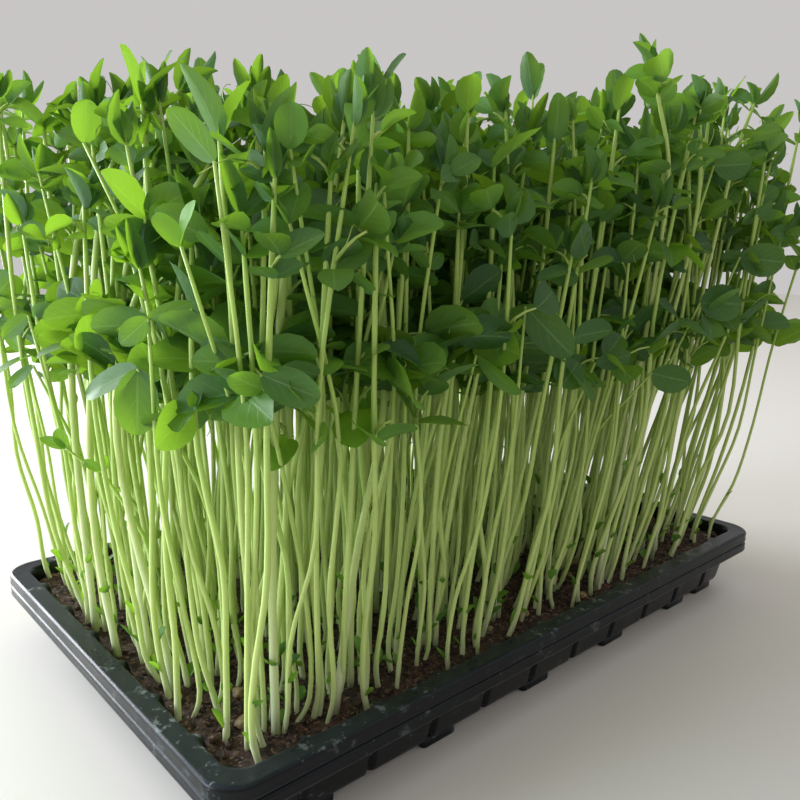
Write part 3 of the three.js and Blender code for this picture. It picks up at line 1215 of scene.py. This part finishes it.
@dataclass
class Shoot:
    """One pea shoot: its stem, the scale leaves low on it and the leaves at its upper nodes."""

    surface: Surface
    path: Path
    draw: Draws
    room: Callable[[Places], bool]
    radius: float = 1.25
    foot_share: float = 0.0

    # The stem's mesh, how it narrows, and how it swells at its foot and nodes: by how much, how far
    RINGS, SIDES = 19, 7
    TAPER, TAPER_POWER, TIP = 0.28, 1.8, 0.6
    FOOT_SWELL, NODE_SWELL = (0.18, 0.05), (0.2, 0.022)
    LEAF_SIZE = (17.0, 27.0)
    # The stipules' length beside the leaflets', and how many leaves have a tendril
    STIPULE_SHARE = 0.75
    TENDRILS = 0.3
    TENDRIL_STEPS = 11

    def stem(self, nodes: Sequence[float]) -> None:
        """Adds the stem, a little swollen at its nodes, which are shares of its path."""
        shares = np.linspace(self.foot_share, 1, self.RINGS)
        radii = self.radius * (1 - self.TAPER * shares ** self.TAPER_POWER)
        swells = [(self.foot_share, *self.FOOT_SWELL), *((node, *self.NODE_SWELL) for node in nodes)]
        for place, more, spread in swells:
            radii *= 1 + more * np.exp(-((shares - place) / spread) ** 2)
        radii[-1] *= self.TIP
        self.surface.rod(self.path.line(shares), radii, self.SIDES, Finish.STEM.value, shares)

    def blade(self, blade: Blade) -> None:
        """Adds a blade where there is room for it."""
        places = blade.grid()
        if self.room(places.reshape(-1, 3)):
            self.surface.grid(places, Finish.LEAF.value, blade.tone)

    def scale_leaf(self, share: float, turn: float) -> None:
        """Adds a small clasping scale leaf low on the stem."""
        draw = self.draw
        base, heading = self.path.at(share), self.path.heading(share)
        out = unit(sideways(turn))
        direction = unit(heading + out * draw(0.4, 0.9))
        self.blade(Blade(
            base + out * self.radius * 0.7, direction, draw(-0.5, 0.5), draw(4, 9), draw(2.6, 5.4),
            draw(0.3, 0.9), draw(-0.1, 0.2), draw(0.2, 1.0), wave=0.1, rows=6, columns=3,
        ))

    def stipules(self, share: float, turn: float, size: float, tone: float) -> None:
        """Adds the pair of half-oval blades that clasp the stem at a node.

        Args:
            share: The node's share of the path.
            turn: The way round the stem that the node's leaf points.
            size: The blades' length in millimetres.
            tone: Their tone.
        """
        draw = self.draw
        base, heading = self.path.at(share), self.path.heading(share)
        for side in (-1, 1):
            round_ = turn + side * draw(0.9, 1.6)
            out = sideways(round_)
            direction = unit(out + heading * draw(-0.2, 1.4))
            self.blade(Blade(
                base + out * self.radius * 0.6 - heading * 2.0, direction, draw(-1.1, 1.1),
                size * draw(0.85, 1.15), size * draw(0.66, 0.86), draw(0.0, 0.35), draw(-0.1, 0.35),
                tone + draw(-0.15, 0.2), lopside=0.3 * side, phase=draw.turn(),
                base_fullness=0.36,
            ))

    def leaf(self, share: float, turn: float, size: float, tone: float) -> None:
        """Adds a leaf: a petiole with a pair of leaflets and a tendril at its end.

        Args:
            share: The leaf's share of the path.
            turn: The way round the stem that it points.
            size: The leaflets' length in millimetres.
            tone: Their tone.
        """
        draw = self.draw
        base, heading = self.path.at(share), self.path.heading(share)
        out = sideways(turn)
        reach, lift = size * draw(0.35, 0.75), draw(0.35, 1.1)
        end = base + unit(out + heading * lift) * reach
        middle = (base + end) / 2 + heading * reach * 0.12
        if not self.room(end[None, :]):
            return
        petiole = Path([base, middle, end])
        radii = np.array([0.85, 0.65, 0.58, 0.5])
        self.surface.rod(petiole.line(np.linspace(0, 1, 4)), radii, 4, Finish.STEM.value, 0.8)
        onward = petiole.heading(1)
        across = unit(np.cross(onward, UP))
        spread = draw(0.7, 1.5)
        for side in (-1, 1):
            direction = unit(onward + across * side * spread + UP * draw(-0.8, 0.9))
            self.blade(Blade(
                end, direction, draw(-1.3, 1.3), size * draw(0.88, 1.1), size * draw(0.6, 0.78),
                draw(0.05, 0.4) + 0.5 * max(tone, 0.0), draw(-0.05, 0.35),
                tone + draw(-0.15, 0.15), phase=draw.turn(),
            ))
        if draw(0, 1) < self.TENDRILS:
            self.tendril(end, onward)

    def tendril(self, base: Places, heading: Places) -> None:
        """Adds a thread-like tendril that curls at its end."""
        draw = self.draw
        place, step = base.copy(), draw(1.4, 2.6)
        axis = unit(np.array([draw(-1, 1), draw(-1, 1), draw(-0.3, 0.3)]))
        curl = draw(0.05, 0.2)
        centres = []
        for count in range(self.TENDRIL_STEPS):
            centres.append(place)
            heading = turned(unit(heading), axis, curl + count * 0.035)
            place = place + heading * step
        line = np.array(centres)
        if self.room(line):
            radii = np.linspace(0.32, 0.14, self.TENDRIL_STEPS)
            self.surface.rod(line, radii, 3, Finish.STEM.value, 0.95)

    def bud(self, turn: float) -> None:
        """Adds the folded young leaves at the shoot's tip."""
        draw = self.draw
        base, heading = self.path.at(1.0), self.path.heading(1.0)
        for count in range(3):
            round_ = turn + count * 2.2 + draw(-0.3, 0.3)
            out = sideways(round_)
            direction = unit(heading * draw(1.4, 3.2) + out)
            self.blade(Blade(
                base - heading * 2, direction, draw.turn(), draw(10, 21), draw(4, 7.5),
                draw(1.0, 2.2), draw(-0.15, 0.15), draw(-0.1, 0.4), wave=0.15, tip_fullness=0.6,
            ))

    def dress(self, nodes: Sequence[float], crown: bool) -> None:
        """Adds the stem and its leaves.

        Args:
            nodes: The shares of the path where leaves stand.
            crown: Whether the tip has a bud of its own.
        """
        draw = self.draw
        scales = [0.15 + draw(-0.05, 0.05), 0.3 + draw(-0.07, 0.07)][:1 + round(draw(0, 1))]
        self.stem([*scales, *nodes])
        turn = draw.turn()
        for share in scales:
            self.scale_leaf(share, turn)
            turn += math.pi + draw(-0.4, 0.4)
        for share in nodes:
            fresh = (share - nodes[0]) / max(1 - nodes[0], 0.01)
            tone = 0.05 + 0.3 * fresh * fresh + draw(-0.1, 0.25) + draw(0.0, 0.9) ** 7
            size = draw(*self.LEAF_SIZE) * (1 - 0.4 * fresh)
            self.stipules(share, turn, size * self.STIPULE_SHARE, tone)
            self.leaf(share, turn, size, tone)
            turn += math.pi + draw(-0.5, 0.5)
        if crown:
            self.bud(turn)


@dataclass(frozen=True)
class MainShoot:
    """A shoot that the part's own solid has: its spot in the bunch, height and leaflets."""

    spot: tuple[float, float]
    height: float
    leaflets: tuple[tuple[float, float, BladeKind], ...]


MAIN_SHOOTS = (
    MainShoot((-1, -0.75), 1.0, (
        (0.985, 0, YOUNG), (0.985, math.pi, YOUNG), (0.82, math.pi / 2, LOW),
    )),
    MainShoot((0.95, -0.55), 0.88, ((0.985, 0, TOP), (0.985, math.pi, TOP))),
    MainShoot((0, 1.1), 0.64, ((0.985, 0, LOW), (0.985, math.pi, LOW))),
)


@dataclass(frozen=True)
class LeadShoot:
    """A shoot that stands out at the front: its cell and the places that its stem passes."""

    cell: tuple[int, int]
    places: tuple[tuple[float, float, float], ...]
    radius: float = 1.6


FOREMOST_SHOOTS = (
    LeadShoot((2, 0), (
        (-175, 0, 30), (-179, 8, 90), (-175, 9, 165), (-161, 10, 244), (-143, -20, 272),
    )),
    LeadShoot((1, 0), ((-168, -43, 30), (-179, -24, 136), (-175, -33, 185), (-155, -62, 240))),
    LeadShoot((1, 0), ((-170, -23, 30), (-171, -10, 125), (-166, -8, 197), (-156, -22, 248))),
    LeadShoot((3, 0), ((-174, 29, 30), (-175, 36, 140), (-170, 34, 208), (-156, 15, 268))),
    LeadShoot((0, 0), (
        (-153, -94, 30), (-154, -95, 90), (-152, -98, 172), (-147, -98, 225), (-151, -100, 244),
    )),
    LeadShoot((0, 1), (
        (-129, -98, 30), (-118, -98, 95), (-105, -98, 150), (-102, -92, 205), (-105, -90, 234),
    )),
    LeadShoot((0, 5), ((60, -98, 30), (80, -105, 140), (84, -119, 235), (72, -122, 280)), 1.15),
    LeadShoot((0, 5), (
        (47, -98, 30), (62, -106, 150), (53, -119, 250), (36, -122, 276), (29, -122, 289),
    ), 1.15),
    LeadShoot((0, 6), ((108, -96, 30), (116, -104, 150), (124, -117, 262), (138, -118, 291)), 1.15),
)


@dataclass(frozen=True)
class LeadBlade:
    """A blade of a foremost leaf: its tip, width, roll and tone."""

    tip: tuple[float, float, float]
    width: float
    roll: float
    tone: float


@dataclass(frozen=True)
class LeadLeaf:
    """A leaf that stands out at the front: its cell, base and blades, and whether it has a stem."""

    cell: tuple[int, int]
    base: tuple[float, float, float]
    blades: tuple[LeadBlade, ...]
    stalked: bool = True

    # How far out a stem may root, how far inward it does, its bends and its thickness
    BED = (172.0, 103.0)
    INWARD = ((0.84, 0.97), (0.76, 0.97))
    SWAYS = ((-0.02, 2.0), (0.06, 3.0), (0.3, 4.0), (0.6, 4.0))
    THICK, TAPER = 1.05, 0.5

    def grow(self, surface: Surface, canopy: Canopy, draw: Draws) -> None:
        """Adds the blades and the slim stem that carries them.

        Args:
            surface: What the faces are added to.
            canopy: How the stem leans and fans out.
            draw: The random draws for how it bends.
        """
        base = np.array(self.base)
        for blade in self.blades:
            reach = np.array(blade.tip) - base
            length = float(np.linalg.norm(reach))
            places = Blade(
                base, reach / length, blade.roll, length, blade.width, 0.2, 0.1, blade.tone,
                phase=length, rows=9, columns=7,
            ).grid()
            surface.grid(places, Finish.LEAF.value, blade.tone)
        if not self.stalked:
            return
        height = float(base[2]) - canopy.soil_top
        x, y = (
            float(np.clip(place * draw(*inward), -reach, reach)) for place, inward, reach
            in zip(canopy.lowered(base, canopy.early_fan(height)), self.INWARD, self.BED)
        )
        places = [
            canopy.raised(x, y, share * height, early=True) + [draw(-sway, sway), draw(-sway, sway), 0]
            for share, sway in self.SWAYS
        ]
        shares = np.linspace(0, 1, 16)
        radii = self.THICK - self.TAPER * shares ** 4
        surface.rod(Path([*places, base]).line(shares), radii, 6, Finish.STEM.value, shares)


FOREMOST_LEAVES = (
    LeadLeaf((0, 3), (-47, -118, 189), (LeadBlade((-35, -133, 169), 15, 1.7, 0.15),)),
    LeadLeaf((0, 5), (97, -118, 185), (LeadBlade((114, -133, 185), 20, 1.3, 0.1),)),
    LeadLeaf((0, 6), (140, -117, 209), (LeadBlade((158, -135, 206), 19, 1.7, 0.2),)),
    LeadLeaf((0, 5), (59, -115, 151), (LeadBlade((73, -129, 146), 16, 1.8, 0.1),)),
    LeadLeaf((0, 4), (7, -116, 161), (LeadBlade((20, -127, 164), 10, 1.9, 0.2),)),
    LeadLeaf((0, 2), (-73, -116, 171), (LeadBlade((-63, -129, 155), 9, 2.3, 0.4),)),
    LeadLeaf((1, 0), (-187, -66, 170), (
        LeadBlade((-190, -69, 148), 15, -0.2, 0.1), LeadBlade((-199, -44, 160), 11, -1.0, 0.3),
    )),
    LeadLeaf((0, 0), (-170, -117, 173), (LeadBlade((-158, -130, 166), 12, 1.5, 0.35),)),
    LeadLeaf((0, 0), (-161, -121, 239), (LeadBlade((-159, -119, 253), 10, 0.2, 0.7),)),
    LeadLeaf((0, 0), (-161, -120, 218), (
        LeadBlade((-155, -118, 231), 9, 0.3, 0.5), LeadBlade((-167, -116, 230), 7, -0.4, 0.4),
    )),
    LeadLeaf((0, 0), (-184, -118, 234), (LeadBlade((-191, -108, 248), 9, 1.5, 0.45),)),
    LeadLeaf((0, 0), (-189, -106, 211), (
        LeadBlade((-187, -109, 224), 11, 0.7, 0.95), LeadBlade((-192, -96, 221), 7, -0.6, 0.9),
    )),
    LeadLeaf((1, 0), (-191, -41, 245), (LeadBlade((-188, -39, 260), 10, 0.8, 0.8),)),
    LeadLeaf((0, 1), (-125, -121, 229), (LeadBlade((-119, -122, 242), 7, 1.3, 0.9),)),
    LeadLeaf((0, 5), (72, -122, 279), (
        LeadBlade((55, -107, 278), 14, -1.6, 0.9), LeadBlade((83, -131, 282), 10, 2.2, 0.6),
    ), False),
    LeadLeaf((0, 4), (36, -122, 276), (
        LeadBlade((43, -124, 288), 9, 1.1, 0.8), LeadBlade((31, -114, 285), 7, -1.5, 0.5),
    ), False),
    LeadLeaf((0, 4), (29, -122, 289), (LeadBlade((20, -114, 288), 7, -1.3, 0.6),), False),
    LeadLeaf((0, 5), (93, -121, 254), (LeadBlade((108, -134, 255), 15, 1.8, 0.1),)),
    LeadLeaf((2, 0), (-184, 22, 124), (
        LeadBlade((-192, 30, 129), 5, -0.8, 0.45), LeadBlade((-186, 27, 132), 6, -0.7, 0.6),
    )),
    LeadLeaf((2, 0), (-184, -19, 123), (
        LeadBlade((-189, -13, 127), 4, -0.9, 0.5), LeadBlade((-182, -19, 129), 4, 1.6, 0.6),
    )),
    LeadLeaf((3, 0), (-187, 50, 180), (LeadBlade((-197, 56, 170), 8, -1.4, 0.2),)),
    LeadLeaf((3, 0), (-186, 52, 157), (LeadBlade((-196, 59, 147), 6, -1.2, 0.3),)),
    LeadLeaf((0, 0), (-188, -79, 188), (
        LeadBlade((-196, -74, 180), 8, -1.4, 0.3), LeadBlade((-181, -94, 193), 6, 2.0, 0.2),
    )),
)


@dataclass
class Bunch:
    """The shoots of one cell of the bed."""

    canopy: Canopy
    row: int
    column: int
    limits: tuple[Places, Places]
    extra: int = 12

    SEED, SEED_STEP = 7001, 131
    # How a main shoot's leaflet is turned, lifted and shortened until it fits
    AIM_TRIES, AIM_SWINGS = 60, 12
    AIM_SWING, AIM_SHRINK, AIM_LIFT = 0.26, 0.12, 0.3
    # A main stem's bends: the share of its height, and how far it has spread from the plug
    MAIN_BENDS = ((0.12, 0.25), (0.4, 0.8), (0.7, 1.0), (1.0, 1.0))
    # The further stems' places in the cell, how many arch over and how much, and their bends:
    # the share of the height, the share of the lean and the sway
    SLOTS = (4, 3)
    ARCHED, ARCH = 0.22, 2.4
    ROOTED = 3.0
    BENDS = (
        (0.05, 0, 0.8), (0.18, 0.1, 2.6), (0.36, 0.4, 3.2), (0.62, 0.7, 3.6), (1.0, 1.3, 6),
    )
    # Where leaves stand, in millimetres above the peat, under each other and under the tip
    LEAF_REACH = 13.0
    FIRST_LEAF = (114.0, 150.0)
    LEAF_STEP = (20.0, 32.0)
    TIP_GAP = (3.0, 12.0)
    # How many nodes a shoot has, and how thin the further stems are
    FEWEST, MORE, MORE_AT_EDGE = 3, 1.4, 0.8
    THIN = (0.95, 1.35)

    def room(self, places: Places) -> bool:
        """Whether places stay inside the whole object's box."""
        low, high = self.limits
        return bool((places > low).all() and (places < high).all())

    def main_path(self, shoot: MainShoot, draw: Draws) -> Path:
        """The path of a main shoot's stem, the same as in the part's own source.

        Args:
            shoot: The shoot.
            draw: The bunch's own draws.

        Returns:
            The path from inside the root plug to the tip.
        """
        c = self.canopy
        centre, (a, b) = c.centre(self.row, self.column), shoot.spot
        home = (centre[0] + a * draw(2.8, 3.5), centre[1] + b * draw(2.8, 3.5))
        away = (
            centre[0] + a * draw(0.17, 0.27) * (c.bed_length / c.columns),
            centre[1] + b * draw(0.17, 0.27) * (c.bed_width / c.rows),
        )
        full = c.full_height(*away) * shoot.height * draw(0.93, 1.04)
        places = [np.array([*home, c.soil_top - c.hole_depth / 2])]
        for share, spread in self.MAIN_BENDS:
            x = home[0] + (away[0] - home[0]) * spread + draw(-1.2, 1.2)
            y = home[1] + (away[1] - home[1]) * spread + draw(-1.2, 1.2)
            places.append(c.raised(x, y, share * full))
        return Path(places)

    def aimed(
        self, base: Places, turn: float, kind: BladeKind, draw: Draws, tone: float,
    ) -> Blade | None:
        """One leaflet, turned, lifted and shortened as the part's own source does it.

        Args:
            base: Where it stands.
            turn: The way that it first points.
            kind: Its kind.
            draw: The bunch's own draws.
            tone: Its tone.

        Returns:
            The blade, or None where there is no room.
        """
        rise = kind.rise + draw(-0.4, 0.4)
        fold, droop = draw(0.15, 0.4), draw(0.05, 0.25)
        size, roll = draw(0.9, 1.1), draw(-0.8, 0.8)
        for tried in range(self.AIM_TRIES):
            step, rounds = tried % self.AIM_SWINGS, tried // self.AIM_SWINGS
            swing = turn + (-1 if tried % 2 else 1) * math.ceil(step / 2) * self.AIM_SWING
            shrink = 1 - self.AIM_SHRINK * rounds
            lift = rise + self.AIM_LIFT * rounds
            direction = np.array([
                math.cos(swing) * math.cos(lift), math.sin(swing) * math.cos(lift), math.sin(lift),
            ])
            blade = Blade(
                base, direction, roll, kind.length * size * shrink, kind.width * size * shrink,
                fold, droop, tone, phase=tried + turn,
            )
            if self.canopy.holds(blade.edge(kind), self.row, self.column):
                return blade
        return None

    def extra_path(self, draw: Draws, count: int) -> Path:
        """The path of one of the further shoots.

        Args:
            draw: The draws of the further shoots.
            count: Which of them it is.

        Returns:
            The path from just under the peat to the tip.
        """
        c = self.canopy
        centre = c.centre(self.row, self.column)
        size = (c.bed_length / c.columns, c.bed_width / c.rows)
        (across, along), inside = self.SLOTS, (0.1, 0.9)
        slot = (
            (count % across + draw(*inside)) / across - 0.5,
            (count // across % along + draw(*inside)) / along - 0.5,
        )
        home = (centre[0] + slot[0] * size[0], centre[1] + slot[1] * size[1])
        full = c.full_height(*home) * draw(0.5, 1.0) ** 0.5
        lean = np.array([draw(-9, 9), draw(-9, 9)])
        if draw(0, 1) < self.ARCHED:
            lean *= self.ARCH
        foot = (draw(-3.5, 3.5), draw(-3.5, 3.5))
        places = [np.array([home[0] + foot[0], home[1] + foot[1], c.soil_top - self.ROOTED])]
        low, high = (corner + (side * self.LEAF_REACH) for corner, side in zip(self.limits, (1, -1)))
        for share, spread, sway in self.BENDS:
            x = home[0] + lean[0] * spread + draw(-sway, sway)
            y = home[1] + lean[1] * spread + draw(-sway, sway)
            places.append(np.clip(c.raised(x, y, share * full, early=True), low, high))
        return Path(places)

    def _nodes(self, shoot: Shoot, draw: Draws) -> list[float]:
        """The shares of a shoot's path where its leaves stand.

        Args:
            shoot: The shoot.
            draw: The random draws.

        Returns:
            The shares, from the lowest leaf up.
        """
        tip = float(shoot.path.at(1.0)[2]) - self.canopy.soil_top
        heights = [min(draw(*self.FIRST_LEAF), tip - 3)]
        height = tip - draw(*self.TIP_GAP)
        edge = self.row == 0 or self.column == 0
        most = self.FEWEST + round(draw(0.0, self.MORE_AT_EDGE if edge else self.MORE))
        while height > heights[0] + self.LEAF_STEP[1] and len(heights) < most:
            heights.insert(1, height)
            height -= draw(*self.LEAF_STEP)
        shares = np.linspace(0, 1, 60)
        rises = shoot.path.line(shares)[:, 2] - self.canopy.soil_top
        return [float(np.interp(height, rises, shares)) for height in heights]

    def make(self, finishes: Sequence[bpy.types.Material]) -> None:
        """Builds, dresses and seats the bunch.

        Args:
            finishes: The materials, in the order of Finish.
        """
        surface = Surface()
        cell = self.row * self.canopy.columns + self.column
        draw = Draws(1 + cell)
        own = Draws(self.SEED + self.SEED_STEP * cell, 6)
        for main in MAIN_SHOOTS:
            path = self.main_path(main, draw)
            shoot = Shoot(surface, path, own, self.room, foot_share=0.06)
            start = draw.turn()
            for share, turn, kind in main.leaflets:
                base = path.at(share)
                tone = own(0.0, 0.6) if kind is YOUNG else own(0.0, 0.4)
                blade = self.aimed(base, start + turn + draw(-0.3, 0.3), kind, draw, tone)
                if blade:
                    surface.grid(blade.grid(), Finish.LEAF.value, tone)
            shoot.dress(self._nodes(shoot, own)[:-1], crown=False)
        for count in range(self.extra):
            path = self.extra_path(own, count)
            shoot = Shoot(surface, path, own, self.room, radius=own(*self.THIN))
            shoot.dress(self._nodes(shoot, own), crown=True)
        for lead in FOREMOST_SHOOTS:
            if lead.cell == (self.row, self.column):
                shoot = Shoot(surface, Path(lead.places), own, self.room, lead.radius)
                shoot.dress(self._nodes(shoot, own), crown=True)
        for leaf in FOREMOST_LEAVES:
            if leaf.cell == (self.row, self.column):
                leaf.grow(surface, self.canopy, own)
        name = f"r{self.row + 1}_c{self.column + 1}"
        seat(surface, f"bunch_{name}", finishes, f"pea_shoots_{name}")


# The studio


@dataclass
class Studio:
    """The pale table, the soft window light from the left and from behind, and the camera."""

    camera_place: tuple[float, float, float] = (-292.5, -316.9, 210.9)
    heading: float = 48.14
    pitch: float = -11.09
    roll: float = 0.73
    focal: float = 770.0
    image: float = 800.0
    sensor: float = 36.0
    table_half: float = 4000.0
    lamp_size: float = 1.25

    def floor(self) -> None:
        """Makes the table top."""
        surface = Surface()
        spans = np.linspace(-self.table_half, self.table_half, 3)
        surface.grid(np.array([[(x, y, 0.0) for x in spans] for y in spans]))
        surface.piece("pale_table", [PaleTable().material()])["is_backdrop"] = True

    def lamp(self, name: str, place: Sequence[float], power: float, colour: Colour) -> None:
        """Makes a soft square light that faces the shoots.

        Args:
            name: The light's name.
            place: Where it stands, in millimetres.
            power: Its power in watts.
            colour: Its colour.
        """
        data = bpy.data.lights.new(name, "AREA")
        data.size, data.energy, data.color = self.lamp_size, power, colour[:3]
        light = bpy.data.objects.new(name, data)
        light.location = Vector(place) * MILLIMETRE
        aim = Vector((0, 0, 0.12)) - light.location
        light.rotation_euler = aim.to_track_quat("-Z", "Y").to_euler()
        light.visible_camera = False
        bpy.context.scene.collection.objects.link(light)

    def sky(self) -> None:
        """Makes the even pale surroundings."""
        world = bpy.data.worlds.new("pale_room")
        world.use_nodes = True
        background = world.node_tree.nodes["Background"]
        background.inputs["Color"].default_value = shade(0.69, 0.67, 0.665)
        background.inputs["Strength"].default_value = 0.84
        bpy.context.scene.world = world

    def camera(self) -> None:
        """Makes the camera at the photograph's viewing angle."""
        yaw, pitch, roll = (math.radians(a) for a in (self.heading, self.pitch, self.roll))
        forward = Vector((
            math.cos(pitch) * math.cos(yaw), math.cos(pitch) * math.sin(yaw), math.sin(pitch),
        ))
        right = forward.cross(Vector((0, 0, 1))).normalized()
        up = right.cross(forward)
        across = right * math.cos(roll) + up * math.sin(roll)
        above = up * math.cos(roll) - right * math.sin(roll)
        data = bpy.data.cameras.new("photo_camera")
        data.sensor_width = self.sensor
        data.lens = self.focal / self.image * self.sensor
        data.clip_start = 0.01
        camera = bpy.data.objects.new("photo_camera", data)
        turn = Matrix((across, above, -forward)).transposed().to_4x4()
        camera.matrix_world = Matrix.Translation(Vector(self.camera_place) * MILLIMETRE) @ turn
        bpy.context.scene.collection.objects.link(camera)
        bpy.context.scene.camera = camera

    def make(self) -> None:
        """Builds the studio."""
        self.floor()
        self.lamp("window_left", (-2400, 1120, 680), 76, shade(0.77, 0.87, 1.0))
        self.lamp("window_behind", (-880, 2320, 680), 108, shade(0.93, 0.97, 1.0))
        self.sky()
        self.camera()
        bpy.context.scene.view_settings.view_transform = "Standard"


def corners() -> list[list[float]]:
    """The shown object's lowest and highest corners as plain lists."""
    return [list(corner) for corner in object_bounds()]


def main() -> None:
    """Builds the trays, the peat, the shoots and the studio."""
    logging.basicConfig(level=logging.INFO, format="%(message)s", stream=sys.stdout)
    cad_box = corners()
    low, high = (np.array(corner) / MILLIMETRE for corner in cad_box)
    limits = (low - OVERHANG[0], high + OVERHANG[1])
    NestedTrays().make()
    GrowingMedium().make()
    canopy = Canopy()
    finishes = [StemSkin().material(), LeafSkin().material()]
    for row in range(canopy.rows):
        for column in range(canopy.columns):
            Bunch(canopy, row, column, limits).make(finishes)
    Studio().make()
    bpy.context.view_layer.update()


if __name__ == "__main__":
    main()
